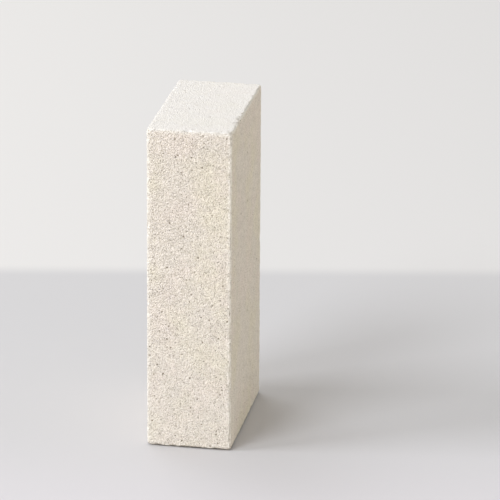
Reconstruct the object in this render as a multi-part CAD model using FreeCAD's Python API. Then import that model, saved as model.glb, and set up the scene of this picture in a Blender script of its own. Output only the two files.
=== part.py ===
"""Refractory firebrick: one pressed and fired rectangular block with softened arrises.

Millimetres, +Z up. The brick stands on one header end, and the origin is the middle of that
end. X runs across the thickness, Y across the width and Z along the length.
"""

import FreeCAD
import Part
import os

# Driving dimensions of the standard straight format
LENGTH = 250.0
WIDTH = 124.0
THICKNESS = 64.0

# Rounding that pressing, firing and handling leave on every arris and corner
ARRIS_RADIUS = 1.5


def pressed_block():
    """The die's outline, as it shows on a bed face, filled to the pressed thickness."""
    left, front, back = -THICKNESS / 2, -WIDTH / 2, WIDTH / 2
    corners = [(front, 0), (back, 0), (back, LENGTH), (front, LENGTH), (front, 0)]
    outline = Part.makePolygon([FreeCAD.Vector(left, y, z) for y, z in corners])
    return Part.Face(outline).extrude(FreeCAD.Vector(THICKNESS, 0, 0))


def firebrick():
    """The fired brick: the pressed block with all its arrises rounded over."""
    block = pressed_block()
    return block.makeFillet(ARRIS_RADIUS, block.Edges)


os.makedirs("parts", exist_ok=True)
firebrick().exportStep("parts/firebrick.step")
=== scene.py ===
"""Looks of a refractory firebrick that stands on its header end: a pressed, sandy, porous body.

The brick's skin is one Geometry Nodes mesh with rounded, crumbled arrises and open pores, cut
inwards from the solid so that it never leaves it. Metres, in the solid's own frame.
"""

import math
from collections import namedtuple

import bpy
from mathutils import Matrix, Vector


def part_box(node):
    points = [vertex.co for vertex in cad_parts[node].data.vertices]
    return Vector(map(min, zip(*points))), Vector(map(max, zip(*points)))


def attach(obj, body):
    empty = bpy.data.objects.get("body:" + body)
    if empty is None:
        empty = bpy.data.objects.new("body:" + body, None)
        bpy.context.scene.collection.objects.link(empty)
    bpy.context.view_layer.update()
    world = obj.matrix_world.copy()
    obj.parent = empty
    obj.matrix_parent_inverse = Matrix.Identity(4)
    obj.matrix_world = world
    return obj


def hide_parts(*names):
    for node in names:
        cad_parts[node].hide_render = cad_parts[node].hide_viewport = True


MM = 0.001
X, Y, Z = Vector((1, 0, 0)), Vector((0, 1, 0)), Vector((0, 0, 1))
NOTHING = Vector((0, 0, 0))

# Patches of noise: how far apart they lie, their detail, and where in the noise they start and are full
Patch = namedtuple("Patch", "wave detail start full")

# Scattered spots: their spacing and radius, how ragged they are, how much they cover (for pores, how dark
# their painted shade is), and their height
Spots = namedtuple("Spots", "spacing radius ragged cover height")

# Soft lamps: how far to the left of the camera they stand and how high, in degrees, their width and power
Lamp = namedtuple("Lamp", "left rise width power")

# Sides of the brick: the way it faces, across and up, and what lies to the left and below on the sheet
Side = namedtuple("Side", "outward across up left low")

# Camera: its place from the front right foot, before the turn, its angles in degrees and its lens
CAMERA_STAND = Vector((0.0137, -3.121, 1.272))
CAMERA_TURN = 10.17
CAMERA_PITCH = 19.61
CAMERA_ROLL = 0.34
CAMERA_LENS = 324.0
CAMERA_SENSOR = 36.0
CAMERA_REACH = 50.0

# Where the grains and pores are drawn from, and how far away the pink clay and the grog are drawn
SEED = 0.37
PINK_AWAY = 0.5
GROG_AWAY = 0.25

# Mesh of the skin
ARRIS_RADIUS = 1.5 * MM
ARRIS_STEPS = 4
FACE_CELL = 1.12 * MM

# Relief of the skin: how far apart its lumps lie, and how deep they go, inwards from the solid
WARP_WAVE, WARP_DEPTH = 70 * MM, 0.25 * MM
LUMP_WAVE, LUMP_DEPTH = 5 * MM, 0.10 * MM
GRIT_WAVE, GRIT_DEPTH = 2.2 * MM, 0.12 * MM
BLOW_HOLE_DEPTH = 0.6 * MM

# Wear of the arrises: where they have broken, how far from the arris, and how deep for that reach
CRUMBLE = Patch(3.2 * MM, 2, 0.35, 0.75)
CRUMBLE_REACH = 2.7 * MM
CHIP = Patch(11 * MM, 1, 0.6, 0.78)
CHIP_REACH = 3.2 * MM
CORNER_REACH = 2.8 * MM
NICK_REACH, NICK_BACK = 4.0 * MM, 5.0 * MM
BREAK_SLOPE = 0.65

# Wear of the foot's arrises from below: how far under the brick it goes, and its least and most height
FOOT = Patch(4.5 * MM, 1, 0.4, 0.6)
FOOT_REACH = 12 * MM
FOOT_LIFT = (0.5 * MM, 2.3 * MM)

# Open pores, and the wave of a spot's ragged outline and its full heart, as shares of its radius
BLOW_HOLE = Spots(6.5 * MM, 0.78 * MM, 0.25, 0.85, -0.56 * MM)
PORE = Spots(2.6 * MM, 0.52 * MM, 0.25, 0.58, -0.56 * MM)
PINHOLE = Spots(1.15 * MM, 0.34 * MM, 0.25, 0.36, -0.42 * MM)
SPOT_WAVE, SPOT_HEART = 1.2, 0.5

# Grains: how far apart the coarse ones, the sand and the flour lie, how high they are, and the grog
GRAIN, GRAIN_HEIGHT = 1.2 * MM, 0.84 * MM
GRAIN_WAVE, GRAIN_RAGGED = 0.8 * GRAIN, 0.25 * GRAIN
SAND, SAND_HEIGHT = 0.8 * MM, 0.23 * MM
FLOUR, FLOUR_HEIGHT = Patch(0.6 * MM, 2, 0.25, 0.75), 0.17 * MM
GROG = Spots(3.4 * MM, 0.9 * MM, 0.5, 0.6, 0.17 * MM)

# How far the tones of the sand, the flour and the grog run between the dark and the pale grain
SAND_TONE, FLOUR_TONE, GROG_TONE = 0.75, 0.5, 0.5
DARK_GRAIN = (0.81, 0.798, 0.76, 1)
PALE_GRAIN = (1.17, 1.18, 1.205, 1)

# Fired clay: linear colours of the body and its clouds, and the painted shade in its pores
CREAM = (0.852, 0.78, 0.706, 1)
CREAM_YELLOW = (0.856, 0.786, 0.669, 1)
CREAM_PINK = (0.867, 0.773, 0.706, 1)
PORE_SHADE = (0.225, 0.158, 0.082, 1)
YELLOW = Patch(34 * MM, 3, 0.42, 0.68)
PINK, PINK_SHARE = Patch(27 * MM, 3, 0.42, 0.68), 0.7
MOTTLE, MOTTLE_TONES = Patch(6 * MM, 2, 0.3, 0.7), (0.957, 1.031)
CLAY_ROUGHNESS = (0.86, 0.96)
CLAY_GLOSS = 0.3

# Painted light: a whiter tone that paints glare on the upper end, and thinly round the foot evens out its
# shade. Where it starts and is full on the upper end and round the foot, as shares of the height
PAINTED_LIGHT_TONE = (0.812, 0.782, 0.749, 1)
PAINTED_LIGHT_WAVE = 9 * MM
PAINTED_GLARE_TOP, PAINTED_GLARE_TOP_SHARE = (0.991, 0.998), (0.6, 0.95)
PAINTED_LIGHT_FOOT, PAINTED_LIGHT_FOOT_SHARE = (0.75, 0.0), 0.15
PAINTED_LIGHT_CALM = 0.75

# Rubbed arrises, paler partly from wear and partly as a painted highlight: how far the rubbing reaches at
# least and at most, and how much of the grain it hides
RUBBED_AND_HIGHLIGHT = (0.935, 0.888, 0.825, 1)
RUB_AND_HIGHLIGHT = Patch(4 * MM, 2, 0.2, 0.8)
RUB_AND_HIGHLIGHT_REACH = (2.4 * MM, 6.4 * MM)
RUB_AND_HIGHLIGHT_SHARE = 0.9
RUB_AND_HIGHLIGHT_CALM = 0.35

# The skin's place after its wear and before its relief, which both the relief and the finish go by
SKIN = "worn_skin"

# Flat layout of the six sides for painting: the gap between them, the map's name, and how squarely
# the faces of a side at least look its way
SHEET_GAP = 3.5 * MM
SHEET_MAP = "OFBake"
FACING = 0.5
SIDES = [
    Side(-X, -Y, Z, NOTHING, NOTHING),
    Side(X, Y, Z, Y, NOTHING),
    Side(-Y, X, Z, 2 * Y, NOTHING),
    Side(Y, -X, Z, X + 2 * Y, NOTHING),
    Side(-Z, Y, X, NOTHING, Z),
    Side(Z, -Y, X, Y, Z),
]

# Where the named values of the mesh are kept
ON_POINTS = {"data_type": "FLOAT_VECTOR", "domain": "POINT"}
ON_FACES = {"data_type": "FLOAT_VECTOR", "domain": "FACE"}
ON_CORNERS = {"data_type": "FLOAT2", "domain": "CORNER"}

# Places of a Mix node's sockets for colours: its factor, its two colours and its result
MIX_FACTOR, MIX_FIRST, MIX_SECOND, MIX_RESULT = 0, 6, 7, 2

# Lamps and the light from all round: at the level of the brick, overhead, and the backdrop that is seen
LAMPS = {
    "key": Lamp(42, 42, 3.2, 258),
    "side": Lamp(82, 28, 2.8, 296),
    "back": Lamp(150, 55, 4.0, 127),
}
LAMP_DISTANCE = 8.0
LAMP_COLOUR = (0.892, 0.931, 1.0)
SKY_LOW = (1.264, 1.198, 0.938, 1)
SKY_HIGH = (0.244, 0.263, 0.353, 1)
BACKDROP = (0.82, 0.81, 0.79, 1)

# Floor: its colours beside and before the brick, and far to the right and left, and where they meet. Paler
# before the brick and darker far to the right is painted light
FLOOR_REACH = 12.0
FLOOR_NEAR = (0.607, 0.592, 0.59, 1), (0.67, 0.642, 0.651, 1)
FLOOR_FAR = (0.696, 0.677, 0.663, 1), (0.751, 0.728, 0.704, 1)
FLOOR_NEAR_TURN = (0.0, -0.2)
FLOOR_FAR_TURN = (-0.5, 0.5)
FLOOR_BACK = (0.315, 0.345)
FLOOR_END = (1.6, 5.0)


def unsigned(vector):
    """The vector with all its parts made positive."""
    return Vector([abs(part) for part in vector])


def is_number(term):
    """Whether a term is a plain number."""
    return isinstance(term, (int, float))


def is_vector(term):
    """Whether a term is a vector or a colour, wired or plain."""
    if isinstance(term, Wire):
        return term.socket.type in ("VECTOR", "RGBA")
    return not is_number(term)


class Wire:
    """A socket of a node tree, or the bare tree. Maths on wires adds Math nodes, or Vector Math
    where a vector or a colour takes part, and node() adds a node of any other kind."""

    def __init__(self, tree, socket=None):
        self.tree = tree
        self.socket = socket

    def node(self, kind, settings=None, inputs=None, output=0):
        """Adds a node with its settings and inputs, and gives one of its outputs."""
        made = self.tree.nodes.new(kind)
        for name, value in (settings or {}).items():
            setattr(made, name, value)
        for name, value in (inputs or {}).items():
            if isinstance(value, Wire):
                self.tree.links.new(value.socket, made.inputs[name])
            else:
                made.inputs[name].default_value = value
        return Wire(self.tree, made.outputs[output] if len(made.outputs) else None)

    def beside(self, output):
        """Another output of the same node."""
        return Wire(self.tree, self.socket.node.outputs[output])

    def maths(self, operation, *terms, output=0):
        """Adds a Math or a Vector Math node for the terms, wired or plain."""
        kind = "ShaderNodeMath"
        if any(is_vector(term) for term in terms):
            kind = "ShaderNodeVectorMath"
            terms = [(term, term, term) if is_number(term) else term for term in terms]
        return self.node(kind, {"operation": operation}, dict(enumerate(terms)), output)

    def __add__(self, other):
        return self.maths("ADD", self, other)

    def __radd__(self, other):
        return self.maths("ADD", other, self)

    def __sub__(self, other):
        return self.maths("SUBTRACT", self, other)

    def __rsub__(self, other):
        return self.maths("SUBTRACT", other, self)

    def __mul__(self, other):
        return self.maths("MULTIPLY", self, other)

    def __rmul__(self, other):
        return self.maths("MULTIPLY", other, self)

    def __truediv__(self, other):
        return self.maths("DIVIDE", self, other)

    def __rtruediv__(self, other):
        return self.maths("DIVIDE", other, self)

    def __gt__(self, other):
        return self.maths("GREATER_THAN", self, other)

    def __neg__(self):
        return self.maths("MULTIPLY", self, -1)

    def __abs__(self):
        return self.maths("ABSOLUTE", self)

    def at_least(self, other):
        return self.maths("MAXIMUM", self, other)

    def at_most(self, other):
        return self.maths("MINIMUM", self, other)

    def sign(self):
        return self.maths("SIGN", self)

    def unit(self):
        return self.maths("NORMALIZE", self)

    def dot(self, other):
        return self.maths("DOT_PRODUCT", self, other, output="Value")

    def length(self):
        return self.maths("LENGTH", self, output="Value")

    def parts(self):
        """The three parts of a vector."""
        x = self.node("ShaderNodeSeparateXYZ", None, {"Vector": self}, "X")
        return x, x.beside("Y"), x.beside("Z")

    def red(self):
        """The red part of a colour."""
        return self.node("ShaderNodeSeparateColor", None, {"Color": self}, "Red")

    def fade(self, nothing, full):
        """0 where the wire is at nothing, 1 where it is at full, and a soft step between them."""
        ends = {"Value": self, "From Min": nothing, "From Max": full}
        return self.node("ShaderNodeMapRange", {"interpolation_type": "SMOOTHSTEP"}, ends)

    def between(self, first, second):
        """The first number where the wire is 0, and the second where it is 1."""
        return self * (second - first) + first

    def mix(self, first, second):
        """The first colour where the wire is 0, and the second where it is 1."""
        inputs = {MIX_FACTOR: self, MIX_FIRST: first, MIX_SECOND: second}
        return self.node("ShaderNodeMix", {"data_type": "RGBA"}, inputs, MIX_RESULT)

    def noise(self, wave, detail=2.0, output=0):
        """Cloudy noise round this point, 0 to 1, with lumps about one wave apart."""
        inputs = {"Vector": self, "Scale": 1 / wave, "Detail": detail}
        return self.node("ShaderNodeTexNoise", None, inputs, output)

    def cells(self, spacing, output="Distance"):
        """Distance to the nearest of many scattered seeds, or that seed's own colour."""
        return self.node("ShaderNodeTexVoronoi", None, {"Vector": self, "Scale": 1 / spacing}, output)


def empty_tree(owner):
    """The bare node tree of a material or of the world, with no nodes yet."""
    owner.use_nodes = True
    owner.node_tree.nodes.clear()
    return Wire(owner.node_tree)


def patches(point, kind):
    """1 inside patches of this kind, and 0 between them."""
    return point.noise(kind.wave, kind.detail).fade(kind.start, kind.full)


def ragged(point, wave, reach):
    """The point, moved about by up to this reach, so that what is drawn there has a ragged outline."""
    return point + (point.noise(wave, 1.0, "Color") - 0.5) * (2 * reach)


def spots(point, kind):
    """1 in the heart of the spots of this kind, and 0 between them."""
    moved = ragged(point, SPOT_WAVE * kind.radius, kind.ragged * kind.radius)
    return (moved.cells(kind.spacing) * (kind.spacing / kind.radius)).fade(1.0, SPOT_HEART)


def from_arris(point, half):
    """How far a point of the skin, given from the brick's middle, lies from its nearest arris: the
    middle one of its distances to the faces, as the least one is to the face that it lies on."""
    x, y, z = (-abs(point) + half).parts()
    return x + y + z - x.at_most(y).at_most(z) - x.at_least(y).at_least(z)


def cell_block(bare, size, cells, radius):
    """A block of cells as large as the brick, with finer rows of cells along its arrises. It starts
    with cells of one unit, so that a place on it first counts cells from the middle."""
    x, y, z = (cells + 1).parts()
    counts = {"Size": cells, "Vertices X": x, "Vertices Y": y, "Vertices Z": z}
    block = bare.node("GeometryNodeMeshCube", None, counts, "Mesh")
    step = bare.node("GeometryNodeInputPosition")
    inward = cells * 0.5 - abs(step)
    arris_part = inward.at_most(ARRIS_STEPS) * (radius / ARRIS_STEPS)
    face_cell = (size - radius * 2) / (cells - 2 * ARRIS_STEPS)
    face_part = (inward - ARRIS_STEPS).at_least(0) * face_cell
    place = step.sign() * (size * 0.5 - arris_part - face_part)
    return bare.node("GeometryNodeSetPosition", None, {"Geometry": block, "Position": place})


def paint_sheet(block, size):
    """Lays the six sides out flat, side by side, as the map that the finish is painted on."""
    place = block.node("GeometryNodeInputPosition")
    normal = block.node("GeometryNodeInputNormal")
    normal = block.node("GeometryNodeFieldOnDomain", ON_FACES, {"Value": normal})
    pitch = size + SHEET_GAP
    sheet = pitch.dot(2 * X + 2 * Y)
    for side in SIDES:
        left = size.dot(unsigned(side.across)) * 0.5 + pitch.dot(side.left)
        low = size.dot(side.up) * 0.5 + pitch.dot(side.low)
        flat = block.node("ShaderNodeCombineXYZ", None, {
            "X": (place.dot(side.across) + left) / sheet,
            "Y": (place.dot(side.up) + low) / sheet,
        })
        block = block.node("GeometryNodeStoreNamedAttribute", ON_CORNERS, {
            "Geometry": block,
            "Selection": normal.dot(side.outward) > FACING,
            "Name": SHEET_MAP,
            "Value": flat,
        })
    return block


def pressed_skin(place, half, radius):
    """The block's skin with its arrises rounded over, and the way that it faces."""
    inner = half - radius
    core = place.at_most(inner).at_least(-inner)
    outward = (place - core).unit()
    return core + outward * radius, outward


def broken_depth(place, half, pressed, point):
    """How deep the arrises and corners have broken away, with a nick behind an upper corner."""
    crumble = patches(point, CRUMBLE) * CRUMBLE_REACH
    chip = patches(point, CHIP) * CHIP_REACH
    corner = CORNER_REACH - (half - abs(place)).length()
    nicked = half * (X - Y + Z) + Y * NICK_BACK
    nick = NICK_REACH - (pressed - nicked).length()
    broken = (crumble + chip - from_arris(place, half)).at_least(nick).at_least(corner)
    return broken.at_least(0) * BREAK_SLOPE


def foot_gap(place, half, outward, point):
    """How far the foot's arrises have crumbled away from below, and stand clear of the ground."""
    near = from_arris(place, half).fade(FOOT_REACH, 0.0)
    return near * patches(point, FOOT).between(*FOOT_LIFT) * outward.dot(-Z).at_least(0)


def relief_depth(point):
    """How deep the warp, the lumps, the grit and the blow holes of the skin go."""
    warp = point.noise(WARP_WAVE, 1) * WARP_DEPTH
    lumps = point.noise(LUMP_WAVE) * LUMP_DEPTH
    grit = point.noise(GRIT_WAVE, 1) * GRIT_DEPTH
    return warp + lumps + grit + spots(point, BLOW_HOLE) * BLOW_HOLE_DEPTH


def brick_tree(material):
    """Geometry Nodes tree of the brick's skin."""
    tree = bpy.data.node_groups.new("pressed brick", "GeometryNodeTree")
    inputs = {"Size": "Vector", "Cells": "Vector", "Arris radius": "Float", "Seed": "Float"}
    for name, kind in inputs.items():
        tree.interface.new_socket(name, in_out="INPUT", socket_type="NodeSocket" + kind)
    tree.interface.new_socket("Geometry", in_out="OUTPUT", socket_type="NodeSocketGeometry")
    bare = Wire(tree)
    size = bare.node("NodeGroupInput", output="Size")
    radius, seed = size.beside("Arris radius"), size.beside("Seed")
    half = size * 0.5

    # A square block, rounded and then worn
    block = paint_sheet(cell_block(bare, size, size.beside("Cells"), radius), size)
    place = bare.node("GeometryNodeInputPosition")
    pressed, outward = pressed_skin(place, half, radius)
    point = pressed + seed
    worn = pressed - outward * broken_depth(place, half, pressed, point)
    worn = worn + foot_gap(place, half, outward, point) * Z

    # The worn skin with its relief, raised from the brick's middle to its foot
    skin = bare.node("GeometryNodeStoreNamedAttribute", ON_POINTS, {
        "Geometry": block,
        "Name": SKIN,
        "Value": worn,
    })
    skin = bare.node("GeometryNodeSetPosition", None, {
        "Geometry": skin,
        "Position": worn - outward * relief_depth(worn + seed) + half * Z,
    })
    skin = bare.node("GeometryNodeSetShadeSmooth", None, {"Geometry": skin})
    skin = bare.node("GeometryNodeRealizeInstances", None, {"Geometry": skin})
    skin = bare.node("GeometryNodeSetMaterial", None, {"Geometry": skin, "Material": material})
    bare.node("NodeGroupOutput", None, {"Geometry": skin})
    return tree


def set_inputs(modifier, values):
    """Sets a modifier's inputs, by name, through their sockets' identifiers."""
    for socket in modifier.node_group.interface.items_tree:
        if socket.in_out == "INPUT":
            modifier[socket.identifier] = values[socket.name]


def placed(name, data):
    """A new object of the scene."""
    made = bpy.data.objects.new(name, data)
    bpy.context.scene.collection.objects.link(made)
    return made


def plain_mesh(piece):
    """Replaces the piece's mesh by what its modifiers make of it, without the empty material slot
    that comes first there, and takes the modifiers off."""
    evaluated = piece.evaluated_get(bpy.context.evaluated_depsgraph_get())
    made = bpy.data.meshes.new_from_object(evaluated)
    made.materials.pop(index=0)
    piece.modifiers.clear()
    piece.data = made


def fired_brick(size, material):
    """The brick's skin as one plain mesh."""
    piece = placed("fired_brick", bpy.data.meshes.new("fired_brick"))
    modifier = piece.modifiers.new("pressed brick", "NODES")
    modifier.node_group = brick_tree(material)
    set_inputs(modifier, {
        "Size": size,
        "Cells": [2.0 * ARRIS_STEPS + round((side - 2 * ARRIS_RADIUS) / FACE_CELL) for side in size],
        "Arris radius": ARRIS_RADIUS,
        "Seed": SEED,
    })
    plain_mesh(piece)
    return piece


def clay_body(point):
    """The body's cream, with clouds of yellower and pinker clay and small mottles."""
    pink = patches(point + PINK_AWAY, PINK) * PINK_SHARE
    body = pink.mix(patches(point, YELLOW).mix(CREAM, CREAM_YELLOW), CREAM_PINK)
    return body * patches(point, MOTTLE).between(*MOTTLE_TONES)


def fired_clay(size):
    """Cream fired clay: sand and grog of several tones, warm clouds, painted shade in the pores, painted
    light on the upper end and round the foot, and rubbed arrises partly lit by a painted highlight.
    """
    material = bpy.data.materials.new("fired_clay")
    bare = empty_tree(material)
    skin = bare.node("ShaderNodeAttribute", {"attribute_name": SKIN}, None, "Vector")
    point = skin + SEED

    # Painted light: a whiter tone paints glare on the upper end and thinly evens out the shade round the
    # foot, and the arrises are rubbed, with a painted highlight, where it is thin
    height = skin.dot(Z) / size.z + 0.5
    painted_light = height.fade(*PAINTED_GLARE_TOP) * point.noise(PAINTED_LIGHT_WAVE).between(*PAINTED_GLARE_TOP_SHARE)
    painted_light = painted_light.at_least(height.fade(*PAINTED_LIGHT_FOOT) * PAINTED_LIGHT_FOOT_SHARE)
    rub_and_highlight_reach = patches(point, RUB_AND_HIGHLIGHT).between(*RUB_AND_HIGHLIGHT_REACH)
    rub_and_highlight = (from_arris(skin, size * 0.5) / rub_and_highlight_reach).fade(1.0, 0.0) * (1 - painted_light)
    body = (rub_and_highlight * RUB_AND_HIGHLIGHT_SHARE).mix(painted_light.mix(clay_body(point), PAINTED_LIGHT_TONE), RUBBED_AND_HIGHLIGHT)
    calm = 1 - (painted_light * PAINTED_LIGHT_CALM).at_least(rub_and_highlight * RUB_AND_HIGHLIGHT_CALM)

    # Sand, flour and grog, each grain with its own tone, and coarse grains that stand out
    sand = point.cells(SAND, "Color")
    sand_tone = sand.red()
    flour = patches(point, FLOUR)
    grog = spots(point + GROG_AWAY, GROG)
    grog_tone = (point + GROG_AWAY).cells(GROG.spacing, "Color").red()
    tone = ((sand_tone - 0.5) * SAND_TONE + (flour - 0.5) * FLOUR_TONE) * (1 - grog * GROG.cover)
    tone = tone * calm + (grog_tone - 0.5) * grog * GROG_TONE + 0.5
    body = body * tone.mix(DARK_GRAIN, PALE_GRAIN)
    grain = ragged(point, GRAIN_WAVE, GRAIN_RAGGED).cells(GRAIN)
    relief = flour * FLOUR_HEIGHT + grog * GROG.height
    relief = relief - sand.beside("Distance") * SAND_HEIGHT - grain * GRAIN_HEIGHT

    # Pores, deep, with painted shade in them
    painted_pore_shade = 0.0
    for kind in (BLOW_HOLE, PORE, PINHOLE):
        pore = spots(point, kind)
        painted_pore_shade = (pore * kind.cover).at_least(painted_pore_shade)
        relief = relief + pore * kind.height

    bump = bare.node("ShaderNodeBump", None, {"Height": relief * calm, "Distance": 1.0, "Strength": 1.0})
    shader = bare.node("ShaderNodeBsdfPrincipled", None, {
        "Base Color": (painted_pore_shade * calm).mix(body, PORE_SHADE),
        "Roughness": sand_tone.between(*CLAY_ROUGHNESS),
        "Normal": bump,
        "Specular IOR Level": CLAY_GLOSS,
    })
    bare.node("ShaderNodeOutputMaterial", None, {"Surface": shader})
    return material


def looking(turn, rise):
    """Turned round the brick and raised by these degrees, and looking back at it."""
    return Matrix.Rotation(math.radians(turn), 3, "Z") @ Matrix.Rotation(math.radians(90 - rise), 3, "X")


def camera(foot):
    """Stands to the right of the brick's front and looks down on it through a long lens."""
    data = bpy.data.cameras.new("camera")
    data.lens = CAMERA_LENS
    data.sensor_width = CAMERA_SENSOR
    data.clip_end = CAMERA_REACH
    eye = placed("camera", data)
    eye.location = foot + Matrix.Rotation(math.radians(CAMERA_TURN), 3, "Z") @ CAMERA_STAND
    roll = Matrix.Rotation(math.radians(CAMERA_ROLL), 3, "Z")
    eye.rotation_euler = (looking(CAMERA_TURN, CAMERA_PITCH) @ roll).to_euler()
    bpy.context.scene.camera = eye


def softbox(name, lamp, target):
    """A square area lamp that looks at the target."""
    data = bpy.data.lights.new(name, "AREA")
    data.size = lamp.width
    data.energy = lamp.power
    data.color = LAMP_COLOUR
    box = placed(name, data)
    facing = looking(CAMERA_TURN - lamp.left, lamp.rise)
    box.location = target + facing @ Z * LAMP_DISTANCE
    box.rotation_euler = facing.to_euler()


def sky():
    """Soft light from all round, dimmer and cooler overhead, and a pale backdrop. It is so even that
    aiming rays at its parts would only add noise."""
    world = bpy.data.worlds.new("studio")
    world.cycles.sampling_method = "NONE"
    bare = empty_tree(world)
    height = bare.node("ShaderNodeTexCoord", output="Generated").dot(Z).at_least(0)
    seen = bare.node("ShaderNodeLightPath", output="Is Camera Ray")
    colour = seen.mix(height.mix(SKY_LOW, SKY_HIGH), BACKDROP)
    light = bare.node("ShaderNodeBackground", None, {"Color": colour})
    bare.node("ShaderNodeOutputWorld", None, {"Surface": light})
    bpy.context.scene.world = world


def pale_floor():
    """A floor's pale paint, paler behind the brick, that runs into the backdrop far away. Its tone also
    holds painted light: paler before the brick than beside it, and darker far to the right than to the
    left. The backdrop is only seen there and lights nothing, so it isn't treated as a lamp."""
    material = bpy.data.materials.new("pale_floor")
    material.cycles.emission_sampling = "NONE"
    bare = empty_tree(material)
    point = bare.node("ShaderNodeTexCoord", output="Object")
    turn = Matrix.Rotation(math.radians(CAMERA_TURN), 3, "Z")
    behind, left = point.dot(turn @ Y), point.dot(turn @ -X)
    # Painted light: the near floor is paler before the brick than beside it
    near = behind.fade(*FLOOR_NEAR_TURN).mix(*FLOOR_NEAR)
    # Painted light: the far floor is darker to the right than to the left
    far = left.fade(*FLOOR_FAR_TURN).mix(*FLOOR_FAR)
    paint = bare.node("ShaderNodeBsdfDiffuse", None, {"Color": behind.fade(*FLOOR_BACK).mix(near, far)})
    backdrop = bare.node("ShaderNodeEmission", None, {"Color": BACKDROP})
    seen = bare.node("ShaderNodeLightPath", output="Is Camera Ray")
    gone = seen * point.length().fade(*FLOOR_END)
    shader = bare.node("ShaderNodeMixShader", None, {0: gone, 1: paint, 2: backdrop})
    bare.node("ShaderNodeOutputMaterial", None, {"Surface": shader})
    return material


def floor():
    """A wide flat floor at the brick's foot."""
    data = bpy.data.meshes.new("floor")
    corners = [Vector(corner) * FLOOR_REACH for corner in ((-1, -1, 0), (1, -1, 0), (1, 1, 0), (-1, 1, 0))]
    data.from_pydata(corners, [], [(0, 1, 2, 3)])
    data.materials.append(pale_floor())
    placed("floor", data)


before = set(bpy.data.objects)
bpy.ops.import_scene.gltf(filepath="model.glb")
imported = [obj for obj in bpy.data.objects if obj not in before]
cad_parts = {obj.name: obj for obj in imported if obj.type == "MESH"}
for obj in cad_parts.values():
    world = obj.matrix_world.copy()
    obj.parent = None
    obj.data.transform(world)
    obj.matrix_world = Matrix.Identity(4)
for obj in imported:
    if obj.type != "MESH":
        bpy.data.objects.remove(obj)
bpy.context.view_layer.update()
low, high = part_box("firebrick")
size = high - low

# The brick, shown in place of the plain solid
brick = fired_brick(size, fired_clay(size))
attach(brick, "root")
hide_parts("firebrick")

# Camera, floor and light
camera(Vector((high.x, low.y, low.z)))
floor()
for name, lamp in LAMPS.items():
    softbox(name, lamp, (low + high) / 2)
sky()
bpy.context.scene.view_settings.view_transform = "Standard"
